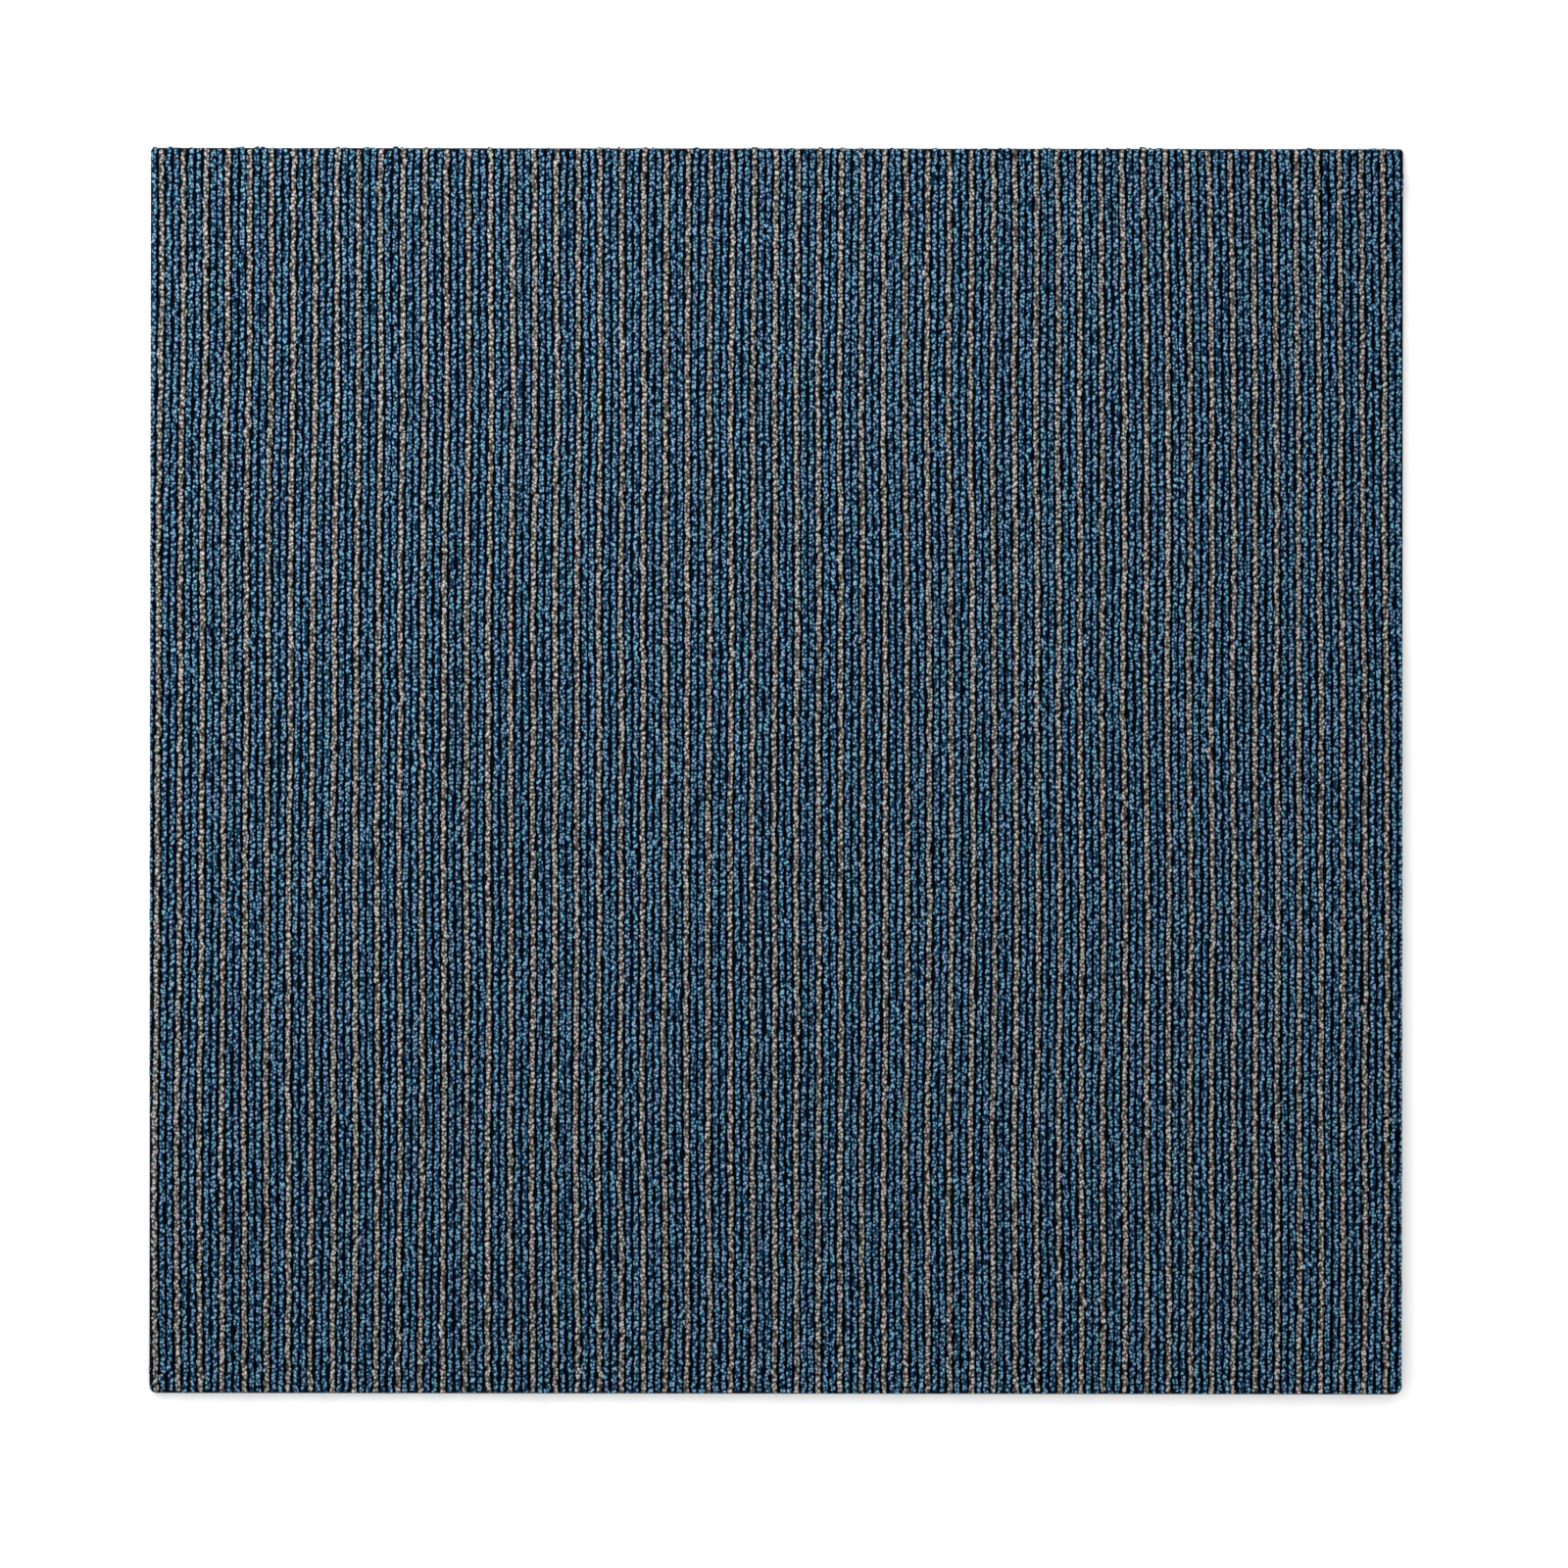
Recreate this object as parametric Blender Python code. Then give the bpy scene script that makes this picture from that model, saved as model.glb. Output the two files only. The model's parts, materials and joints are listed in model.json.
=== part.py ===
"""Loop-pile carpet tile: rows of tufted yarn on a ground cloth, bonded to a heavy backing sheet.

Units are metres and +Z is up. The rows of loops run along Y and the stripes alternate along X.
The origin is the centre of the underside, so the tile lies on the plane Z = 0 with its pile up.
"""

import math

import bmesh
import bpy

# Outline of the tile, square cut
TILE_WIDTH = 0.500  # across the rows, along X
TILE_LENGTH = 0.500  # along the rows, along Y

# Backing sheet
BACKING_THICKNESS = 0.0025
BOND_GAP = 0.0003  # clearance where the pile lies on the backing

# Loop pile: arched rows standing side by side on their ground cloth
GROUND_THICKNESS = 0.0008  # the cloth together with the feet of the loops
LOOP_HEIGHT = 0.0026  # top of a row above the ground cloth
ROW_GAUGE = 0.0029  # nominal spacing of the rows
GROOVE_WIDTH = 0.0005  # flat gap between the feet of two rows
ARCH_STEPS = 4  # facets round the top of a row

# Stripes: one taupe row among two blue ones, starting one row in from the -X edge
STRIPE_REPEAT = 3
TAUPE_ROW = 1

# Finishes: linear colour, roughness
BLUE_YARN = ("blue_yarn", (0.055, 0.140, 0.235), 0.85)
TAUPE_YARN = ("taupe_yarn", (0.265, 0.235, 0.195), 0.85)
BACKING_BLACK = ("backing_black", (0.022, 0.022, 0.024), 0.75)


def clear_scene():
    """Removes whatever the scene holds."""
    for old in list(bpy.data.objects):
        bpy.data.objects.remove(old, do_unlink=True)


def part_collection():
    """A collection that holds the tile's pieces."""
    collection = bpy.data.collections.new("carpet_tile")
    bpy.context.scene.collection.children.link(collection)
    return collection


def finish(name, colour, roughness):
    """A non-metallic Principled material."""
    material = bpy.data.materials.new(name)
    material.use_nodes = True
    shader = material.node_tree.nodes["Principled BSDF"]
    shader.inputs["Base Color"].default_value = (*colour, 1.0)
    shader.inputs["Roughness"].default_value = roughness
    shader.inputs["Metallic"].default_value = 0.0
    return material


def row_count():
    """Rows of loops that fill the width at about the nominal gauge."""
    return max(1, round(TILE_WIDTH / ROW_GAUGE))


def row_pitch():
    """Spacing of the rows, so that a whole number of them fills the width."""
    return TILE_WIDTH / row_count()


def row_centre(row):
    """X of a row's centreline, counted from the -X edge."""
    return -TILE_WIDTH / 2 + (row + 0.5) * row_pitch()


def backing_sheet(collection):
    """The heavy sheet under the pile, a plain slab with square die-cut edges."""
    mesh = bpy.data.meshes.new("backing")
    shape = bmesh.new()
    bmesh.ops.create_cube(shape, size=1.0)
    bmesh.ops.scale(shape, vec=(TILE_WIDTH, TILE_LENGTH, BACKING_THICKNESS), verts=shape.verts)
    bmesh.ops.translate(shape, vec=(0.0, 0.0, BACKING_THICKNESS / 2), verts=shape.verts)
    shape.to_mesh(mesh)
    shape.free()
    mesh.materials.append(finish(*BACKING_BLACK))
    sheet = bpy.data.objects.new("backing", mesh)
    collection.objects.link(sheet)
    return sheet


def pile_outline():
    """The pile's section across the rows: a flat foot and one elliptic arch for each row."""
    base = BACKING_THICKNESS + BOND_GAP
    ground = base + GROUND_THICKNESS
    half_arch = (row_pitch() - GROOVE_WIDTH) / 2
    outline = [(-TILE_WIDTH / 2, ground), (-TILE_WIDTH / 2, base)]
    outline += [(TILE_WIDTH / 2, base), (TILE_WIDTH / 2, ground)]
    for row in reversed(range(row_count())):
        for step in range(ARCH_STEPS + 1):
            angle = math.pi * step / ARCH_STEPS
            across = row_centre(row) + half_arch * math.cos(angle)
            outline.append((across, ground + LOOP_HEIGHT * math.sin(angle)))
    return outline


def outline_curve(outline, length):
    """A filled 2D curve of the outline, extruded to the length and stood up along Y."""
    curve = bpy.data.curves.new("pile_section", "CURVE")
    curve.dimensions = "2D"
    curve.fill_mode = "BOTH"
    curve.extrude = length / 2
    spline = curve.splines.new("POLY")
    spline.points.add(len(outline) - 1)
    for point, (across, height) in zip(spline.points, outline):
        point.co = (across, height, 0.0, 1.0)
    spline.use_cyclic_u = True
    section = bpy.data.objects.new("pile_section", curve)
    section.rotation_euler = (math.pi / 2, 0.0, 0.0)
    return section


def mesh_of(curve_object, name, collection):
    """The curve's solid as one closed mesh object that takes its place."""
    collection.objects.link(curve_object)
    bpy.context.view_layer.update()
    graph = bpy.context.evaluated_depsgraph_get()
    mesh = bpy.data.meshes.new_from_object(curve_object.evaluated_get(graph))
    mesh.name = name
    shape = bmesh.new()
    shape.from_mesh(mesh)
    bmesh.ops.remove_doubles(shape, verts=shape.verts, dist=1e-6)
    bmesh.ops.recalc_face_normals(shape, faces=shape.faces)
    shape.to_mesh(mesh)
    shape.free()
    solid = bpy.data.objects.new(name, mesh)
    solid.matrix_world = curve_object.matrix_world
    bpy.data.objects.remove(curve_object, do_unlink=True)
    collection.objects.link(solid)
    return solid


def colour_rows(mesh):
    """Gives each face the yarn of the row it belongs to, as the stripes repeat."""
    mesh.materials.clear()
    mesh.materials.append(finish(*BLUE_YARN))
    mesh.materials.append(finish(*TAUPE_YARN))
    for face in mesh.polygons:
        row = int((face.center.x + TILE_WIDTH / 2) // row_pitch())
        face.material_index = int(row % STRIPE_REPEAT == TAUPE_ROW)


def loop_pile(collection):
    """All the rows of loops on their ground cloth, as one solid with grooves between the rows."""
    pile = mesh_of(outline_curve(pile_outline(), TILE_LENGTH), "loop_pile", collection)
    colour_rows(pile.data)
    return pile


def main():
    """Builds the tile: the backing sheet and the pile on it."""
    clear_scene()
    collection = part_collection()
    backing_sheet(collection)
    loop_pile(collection)


main()
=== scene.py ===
"""Loop-pile carpet tile with blue and taupe stripes, lying on a pale floor under soft studio light.

Every loop of yarn is a small closed mesh. A Geometry Nodes tree sets the loops out along the rows,
and the pieces that come of it stand for the plain pile of the CAD model. Lengths are in metres.
"""

from __future__ import annotations

import json
import logging
import math
from dataclasses import asdict, dataclass, field, fields
from enum import Enum

import bmesh
import bpy
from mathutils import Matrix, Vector

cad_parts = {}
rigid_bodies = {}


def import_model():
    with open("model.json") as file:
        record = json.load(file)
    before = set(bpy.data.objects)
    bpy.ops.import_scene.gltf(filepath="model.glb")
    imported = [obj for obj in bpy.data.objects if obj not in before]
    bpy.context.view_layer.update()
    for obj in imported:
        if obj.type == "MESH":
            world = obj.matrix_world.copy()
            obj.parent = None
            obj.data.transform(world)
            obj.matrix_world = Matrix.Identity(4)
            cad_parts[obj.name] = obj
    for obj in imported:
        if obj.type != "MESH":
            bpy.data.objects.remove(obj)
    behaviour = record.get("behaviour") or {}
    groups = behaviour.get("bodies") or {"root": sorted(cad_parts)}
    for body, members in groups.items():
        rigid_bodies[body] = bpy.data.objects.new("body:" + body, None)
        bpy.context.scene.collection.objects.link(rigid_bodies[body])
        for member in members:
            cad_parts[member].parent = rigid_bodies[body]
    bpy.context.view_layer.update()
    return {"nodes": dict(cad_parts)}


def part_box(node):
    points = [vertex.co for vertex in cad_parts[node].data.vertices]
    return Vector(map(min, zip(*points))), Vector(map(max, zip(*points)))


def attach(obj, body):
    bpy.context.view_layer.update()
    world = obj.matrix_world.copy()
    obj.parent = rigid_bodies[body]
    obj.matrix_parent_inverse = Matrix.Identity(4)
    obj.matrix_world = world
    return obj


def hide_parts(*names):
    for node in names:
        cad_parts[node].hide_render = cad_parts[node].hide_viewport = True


log = logging.getLogger("carpet_tile")

MM = 0.001

# Maps and attributes of the loops
YARN_MAP = "yarn"
BAKE_MAP = "OFBake"
TONE = "loop_tone"
TINT = "loop_tint"
CELL = "loop_cell"
TURN = "loop_turn"
SIZE = "loop_size"

Colour = tuple[float, float, float]
Range = tuple[float, float]
Socket = bpy.types.NodeSocket

BLACK: Colour = (0.0, 0.0, 0.0)
WHITE: Colour = (1.0, 1.0, 1.0)


class Yarn(Enum):
    """The two yarns of the stripes. The value begins the names of a yarn's pieces."""

    BLUE = "blue"
    TAUPE = "taupe"


def label_of(name: str) -> str:
    """The name of a node tree's input that stands for a field of a dataclass."""
    return name.replace("_", " ").title()


class Wiring:
    """Adds nodes to one tree and joins them."""

    def __init__(self, tree: bpy.types.NodeTree) -> None:
        """Starts on an empty or a ready tree.

        Args:
            tree: The node tree that the nodes go into.
        """
        self.tree = tree

    def node(self, kind: str, values: dict | None = None, **settings: object) -> bpy.types.Node:
        """Adds a node.

        Args:
            kind: Blender's name of the node type.
            values: Sockets or plain values for its inputs, by name or by index.
            settings: Properties of the node.

        Returns:
            The new node.
        """
        made = self.tree.nodes.new(kind)
        for name, value in settings.items():
            setattr(made, name, value)
        for key, value in (values or {}).items():
            self.feed(self.input_of(made, key), value)
        return made

    def first(self, kind: str, values: dict | None = None, **settings: object) -> Socket:
        """Adds a node, as node does, and gives its first output."""
        return self.node(kind, values, **settings).outputs[0]

    def input_of(self, node: bpy.types.Node, key: str | int) -> Socket:
        """Finds an input that is in use.

        Args:
            node: The node that has it.
            key: Its name or its index.

        Returns:
            The input socket.
        """
        if isinstance(key, int):
            return node.inputs[key]
        return next(s for s in node.inputs if s.name == key and s.enabled)

    def feed(self, target: Socket, value: object) -> None:
        """Joins a socket to an input, or sets the input to a plain value.

        Args:
            target: The input.
            value: A socket or a plain value.
        """
        if isinstance(value, bpy.types.NodeSocket):
            self.tree.links.new(value, target)
        elif target.type == "RGBA":
            target.default_value = (*value, 1.0)
        else:
            target.default_value = value

    def out(self, node: bpy.types.Node, name: str | None = None) -> Socket:
        """Finds an output that is in use, by its name or else the first one."""
        return next(s for s in node.outputs if s.enabled and name in (None, s.name))

    def math(self, operation: str, a: object, b: object = 0.0, c: object = 0.0) -> Socket:
        """Adds a Math node.

        Args:
            operation: Blender's name of the operation.
            a: First value or socket.
            b: Second value or socket.
            c: Third value or socket.

        Returns:
            The result.
        """
        made = self.node("ShaderNodeMath", operation=operation)
        for target, value in zip(made.inputs, (a, b, c)):
            self.feed(target, value)
        return made.outputs[0]

    def vector(self, x: object, y: object, z: object = 0.0) -> Socket:
        """Puts three values together as a vector."""
        return self.first("ShaderNodeCombineXYZ", {0: x, 1: y, 2: z})

    def vector_math(self, operation: str, a: Socket, b: object) -> Socket:
        """Adds a Vector Math node of two vectors."""
        return self.first("ShaderNodeVectorMath", {0: a, 1: b}, operation=operation)

    def scaled(self, vector: Socket, factor: Socket) -> Socket:
        """Multiplies a vector by a number."""
        return self.first("ShaderNodeVectorMath", {0: vector, "Scale": factor}, operation="SCALE")

    def parts(self, vector: Socket) -> tuple[Socket, Socket, Socket]:
        """Takes a vector apart into its three values."""
        made = self.node("ShaderNodeSeparateXYZ", {0: vector})
        return made.outputs[0], made.outputs[1], made.outputs[2]

    def place(self) -> Socket:
        """Object coordinates, for a material."""
        return self.node("ShaderNodeTexCoord").outputs["Object"]

    def noise(
        self, vector: Socket, scale: object = 1.0, detail: float = 0.0, **more: float
    ) -> Socket:
        """Adds a Noise Texture node, whose scale is the cells in a unit of the vector."""
        values = {"Vector": vector, "Scale": scale, "Detail": detail, **more}
        return self.first("ShaderNodeTexNoise", values)

    def ramp(
        self,
        value: Socket,
        low: float,
        high: float,
        ends: Range = (0.0, 1.0),
        kind: str = "SMOOTHSTEP",
    ) -> Socket:
        """Maps a value from one range to another and holds it at the ends.

        Args:
            value: What is mapped.
            low: The value that gives the first end.
            high: The value that gives the second end.
            ends: Results at low and at high.
            kind: Smooth, or LINEAR for an even one.

        Returns:
            The mapped value.
        """
        values = {"From Min": low, "From Max": high, "To Min": ends[0], "To Max": ends[1]}
        values["Value"] = value
        return self.first("ShaderNodeMapRange", values, interpolation_type=kind)

    def mix(self, factor: Socket, a: Colour | Socket, b: Colour | Socket) -> Socket:
        """Mixes two colours.

        Args:
            factor: Share of the second one.
            a: First colour.
            b: Second colour.

        Returns:
            The mixed colour.
        """
        made = self.node("ShaderNodeMix", data_type="RGBA")
        for target, value in zip((s for s in made.inputs if s.enabled), (factor, a, b)):
            self.feed(target, value)
        return self.out(made)


class SurfaceGroup:
    """A shader node group that puts out a colour and a relief."""

    def __init__(self, name: str, inputs: dict[str, float | Colour]) -> None:
        """Starts the group.

        Args:
            name: Name of the group.
            inputs: Start value of each input, a number or a colour.
        """
        self.tree = bpy.data.node_groups.new(name, "ShaderNodeTree")
        for label, value in inputs.items():
            plain = not isinstance(value, tuple)
            kind = "NodeSocketFloat" if plain else "NodeSocketColor"
            made = self.tree.interface.new_socket(name=label, in_out="INPUT", socket_type=kind)
            made.default_value = value if plain else (*value, 1.0)
        for label, kind in (("Colour", "NodeSocketColor"), ("Relief", "NodeSocketFloat")):
            self.tree.interface.new_socket(name=label, in_out="OUTPUT", socket_type=kind)
        self.w = Wiring(self.tree)
        self.given = self.w.node("NodeGroupInput").outputs
        self.result = self.w.node("NodeGroupOutput")

    def finish(self, colour: Socket, relief: Socket) -> bpy.types.NodeTree:
        """Joins the group's outputs.

        Args:
            colour: Base colour of the surface.
            relief: Its height.

        Returns:
            The finished group.
        """
        self.w.feed(self.result.inputs["Colour"], colour)
        self.w.feed(self.result.inputs["Relief"], relief)
        return self.tree


@dataclass(frozen=True)
class TwistedYarn:
    """The look that both yarns share: knobbly filaments, faint plies and painted shade.

    Scales are in cells a metre. A knob's spread is 0 for a common one and 1 for a proud one; a
    proud knob takes a painted highlight. Painted shade fills the depth between the loops and the
    yarn's underside, darkest at a loop's foot, and is gone on the crowns. The level is 0 where
    the yarn is darkest.
    """

    bend_scale: float = 500.0
    bend_size: float = 1.1
    bend_by_tone: float = 5.0
    turns_along: float = 2.1
    turns_around: float = 1.8
    crease_sharpness: float = 1.5
    ply_height: float = 0.6
    knob_scale: float = 700.0
    knob_randomness: float = 0.85
    knob_height: float = 0.8
    common_knob: float = 0.61
    proud_knob: float = 0.15
    least_spread: float = -1.5
    knob_lift: float = 0.03
    crown_roundness: float = 0.35
    lift_range: Range = (0.63, 0.96)
    free_side: Range = (250.3 * MM, 250.9 * MM)
    free_end: Range = (248.9 * MM, 249.3 * MM)
    free_sharpness: float = 3.0
    free_lift: float = 0.75
    middle_tone: float = 0.5
    middle_ply: float = 0.55
    middle_crown: float = 0.85
    body_level: float = 0.5
    pale_level: float = 1.25
    hue_scale: float = 900.0
    hue_detail: float = 1.0
    hue_size: float = 1.1
    hue_by_tint: float = 0.3
    hue_shift: float = -0.2
    hue_range: Range = (0.3, 0.7)
    shaded_lift: float = 0.3

    # Foot and Deep are painted shade colours, Pale a painted highlight colour
    COLOURS = ("Foot", "Deep", "Body", "Pale", "Cool", "Warm")
    # Ply, Grain and Crown Depth set the painted shade and highlights; Tone Spread is the loops' own
    NUMBERS = ("Level", "Tone Spread", "Ply Depth", "Grain Depth", "Crown Depth")

    def group(self) -> bpy.types.NodeTree:
        """Builds the node group, which reads the loops' own map and attributes.

        Returns:
            The group. Each finish gives its inputs their values.
        """
        inputs = dict.fromkeys(self.COLOURS, BLACK) | dict.fromkeys(self.NUMBERS, 0.0)
        group = SurfaceGroup("twisted_yarn", inputs)
        w, given, place = group.w, group.given, group.w.place()
        around, along, _ = w.parts(w.first("ShaderNodeUVMap", uv_map=YARN_MAP))
        tone = w.node("ShaderNodeAttribute", attribute_name=TONE).outputs["Fac"]
        tint = w.node("ShaderNodeAttribute", attribute_name=TINT).outputs["Fac"]
        ply = self.plies(w, place, around, along, tone)
        values = {"Vector": place, "Scale": self.knob_scale, "Randomness": self.knob_randomness}
        knobs = w.node("ShaderNodeTexVoronoi", values, voronoi_dimensions="2D")
        # Knobs give a bump, and a painted highlight on the proud ones with painted shade between
        # them
        knob_bump_and_highlight = w.math("SUBTRACT", 1.0, w.out(knobs, "Distance"))
        relief = w.math("MULTIPLY", knob_bump_and_highlight, self.knob_height)
        relief = w.math("MULTIPLY_ADD", ply, self.ply_height, relief)
        spread = w.math("DIVIDE", w.math("SUBTRACT", knob_bump_and_highlight, self.common_knob), self.proud_knob)
        spread = w.math("MAXIMUM", spread, self.least_spread)
        crown = w.math("SINE", w.math("MULTIPLY", along, math.pi))
        crown = w.math("POWER", crown, self.crown_roundness)
        lift = self.lift(w, place, around, crown, spread)
        # The loop's random tone, and painted shade and highlights from the plies, knobs and crowns
        level = given["Level"]
        for away, depth in (
            (w.math("SUBTRACT", tone, self.middle_tone), "Tone Spread"),
            (w.math("SUBTRACT", ply, self.middle_ply), "Ply Depth"),
            (spread, "Grain Depth"),
            (w.math("SUBTRACT", crown, self.middle_crown), "Crown Depth"),
        ):
            level = w.math("MULTIPLY_ADD", away, given[depth], level)
        # Painted shade between the loops and on the yarn's underside
        level = w.math("MULTIPLY", level, lift)
        # Deep is a painted shade colour, Body the yarn's own, Pale a painted highlight
        colour = given["Deep"]
        steps = (0.0, self.body_level, self.pale_level)
        for low, high, name in zip(steps, steps[1:], ("Body", "Pale")):
            colour = w.mix(w.ramp(level, low, high, kind="LINEAR"), colour, given[name])
        # Flecks of a cooler and a warmer hue
        hue = w.math("MULTIPLY_ADD", tint, self.hue_by_tint, self.hue_shift)
        cloud = w.noise(place, self.hue_scale, self.hue_detail)
        hue = w.math("MULTIPLY_ADD", cloud, self.hue_size, hue)
        fleck = w.mix(w.ramp(hue, *self.hue_range), given["Cool"], given["Warm"])
        flecked = w.vector_math("MULTIPLY", colour, fleck)
        # Painted shade: the Foot colour fills the depth between the loops
        out_of_painted_shade = w.ramp(lift, 0.0, self.shaded_lift)
        return group.finish(w.mix(out_of_painted_shade, given["Foot"], flecked), relief)

    def plies(
        self, w: Wiring, place: Socket, around: Socket, along: Socket, tone: Socket
    ) -> Socket:
        """Plies that run round the yarn as they go along it, with a crease between them.

        Args:
            w: Wiring of the group.
            place: Object coordinates.
            around: Share of the way round the yarn.
            along: Share of the way along the loop.
            tone: The loop's own tone, which starts its plies somewhere else.

        Returns:
            0 in a crease, and 1 in the middle of a ply.
        """
        bend = w.math("MULTIPLY", tone, self.bend_by_tone)
        bend = w.math("MULTIPLY_ADD", w.noise(place, self.bend_scale), self.bend_size, bend)
        turn = w.math("MULTIPLY_ADD", along, self.turns_along, bend)
        turn = w.math("MULTIPLY_ADD", around, self.turns_around, turn)
        wave = w.math("ABSOLUTE", w.math("SINE", w.math("MULTIPLY", turn, math.pi)))
        return w.math("POWER", wave, self.crease_sharpness)

    def lift(
        self, w: Wiring, place: Socket, around: Socket, crown: Socket, spread: Socket
    ) -> Socket:
        """How far the yarn is out of the painted shade between the loops and on its underside.

        The outermost loops stand free, so their outer flanks get painted light instead of shade.

        Args:
            w: Wiring of the group.
            place: Object coordinates.
            around: Share of the way round the yarn.
            crown: 1 on the loop's crown, and 0 at its feet.
            spread: How proud the knob is.

        Returns:
            The painted light, from 0 in full painted shade to 1.
        """
        # Painted light and shade: the yarn's top is lighter than its underside, its crown than its
        # feet
        upper = w.math("COSINE", w.math("MULTIPLY", around, math.tau))
        upper = w.math("MULTIPLY_ADD", upper, -0.5, 0.5)
        raised = w.math("MULTIPLY", crown, upper)
        raised = w.math("MULTIPLY_ADD", spread, self.knob_lift, raised)
        raised = w.ramp(raised, *self.lift_range)
        # Painted light on the outer flanks of the outermost loops, near the cut edge
        x, y, _ = w.parts(place)
        side = w.ramp(w.math("ABSOLUTE", x), *self.free_side)
        end = w.ramp(w.math("ABSOLUTE", y), *self.free_end)
        free = w.math("MAXIMUM", side, end)
        free = w.math("MULTIPLY", free, w.math("POWER", crown, self.free_sharpness))
        return w.math("MAXIMUM", raised, w.math("MULTIPLY", free, self.free_lift))


@dataclass(frozen=True)
class MattedFibre:
    """Short matted fibres in two directions, for the ground cloth and the backing's skin."""

    scale: float = 700.0
    share: float = 0.5
    stretch: float = 0.28
    detail: float = 3.0
    distortion: float = 0.6
    fibre_range: Range = (0.5, 0.72)

    def group(self) -> bpy.types.NodeTree:
        """Builds the node group.

        Returns:
            The group, with the two colours as inputs.
        """
        group = SurfaceGroup("matted_fibre", {"Base": BLACK, "Fibre": BLACK})
        w, given, place = group.w, group.given, group.w.place()
        layers = []
        for direction in ((1.0, self.stretch, 1.0), (self.stretch, 1.0, 1.0)):
            drawn = w.vector_math("MULTIPLY", place, direction)
            layers.append(w.noise(drawn, self.scale, self.detail, Distortion=self.distortion))
        fibre = w.math("MAXIMUM", *layers)
        share = w.math("MULTIPLY", w.ramp(fibre, *self.fibre_range), self.share)
        return group.finish(w.mix(share, given["Base"], given["Fibre"]), fibre)


def principled(
    name: str, roughness: float, **constants: float
) -> tuple[Wiring, bpy.types.Node, bpy.types.Material]:
    """A material with one Principled shader.

    Args:
        name: Name of the material.
        roughness: Its roughness.
        constants: Other inputs of the shader, with _ for each space.

    Returns:
        The wiring of its tree, the shader node and the material.
    """
    material = bpy.data.materials.new(name)
    material.use_nodes = True
    shader = material.node_tree.nodes["Principled BSDF"]
    shader.inputs["Roughness"].default_value = roughness
    for key, value in constants.items():
        shader.inputs[key.replace("_", " ")].default_value = value
    return Wiring(material.node_tree), shader, material


def relief_normal(
    w: Wiring, shader: bpy.types.Node, height: Socket, strength: float, depth: float
) -> None:
    """Feeds a height of 0 to 1, which stands for a real depth, to the shader's normal."""
    bump = w.first("ShaderNodeBump", {"Height": height, "Strength": strength, "Distance": depth})
    w.feed(shader.inputs["Normal"], bump)


@dataclass(frozen=True)
class YarnFinish:
    """Bulked multifilament yarn. Colours are linear."""

    name: str
    # Deep is a painted shade colour and pale a painted highlight colour
    deep: Colour
    body: Colour
    pale: Colour
    cool: Colour
    warm: Colour
    # Painted shade colour in the depth between the loops
    foot: Colour = (0.0002, 0.0015, 0.0050)
    level: float = 0.41
    tone_spread: float = 0.05
    # Ply, grain and crown depths set the painted shade and highlights
    ply_depth: float = 0.3
    grain_depth: float = 0.225
    crown_depth: float = 1.6
    relief: float = 0.45 * MM

    def material(self, group: bpy.types.NodeTree) -> bpy.types.Material:
        """Makes the material.

        Args:
            group: The look that the yarns share.

        Returns:
            The finished material.
        """
        w, shader, made = principled(self.name, roughness=0.85, Specular_IOR_Level=0.0)
        own = {label_of(key): value for key, value in asdict(self).items()}
        del own["Name"], own["Relief"]
        yarn = w.node("ShaderNodeGroup", own, node_tree=group)
        w.feed(shader.inputs["Base Color"], yarn.outputs["Colour"])
        relief_normal(w, shader, yarn.outputs["Relief"], strength=1.0, depth=self.relief)
        return made


@dataclass(frozen=True)
class FibreFinish:
    """Matted or woven fibre in one dark colour."""

    name: str
    base: Colour
    fibre: Colour

    def material(self, group: bpy.types.NodeTree) -> bpy.types.Material:
        """Makes the material.

        Args:
            group: The matted fibre group.

        Returns:
            The finished material.
        """
        w, shader, made = principled(self.name, roughness=0.9, Specular_IOR_Level=0.08)
        values = {"Base": self.base, "Fibre": self.fibre}
        felt = w.node("ShaderNodeGroup", values, node_tree=group)
        w.feed(shader.inputs["Base Color"], felt.outputs["Colour"])
        relief_normal(w, shader, felt.outputs["Relief"], strength=0.6, depth=0.2 * MM)
        return made


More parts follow.
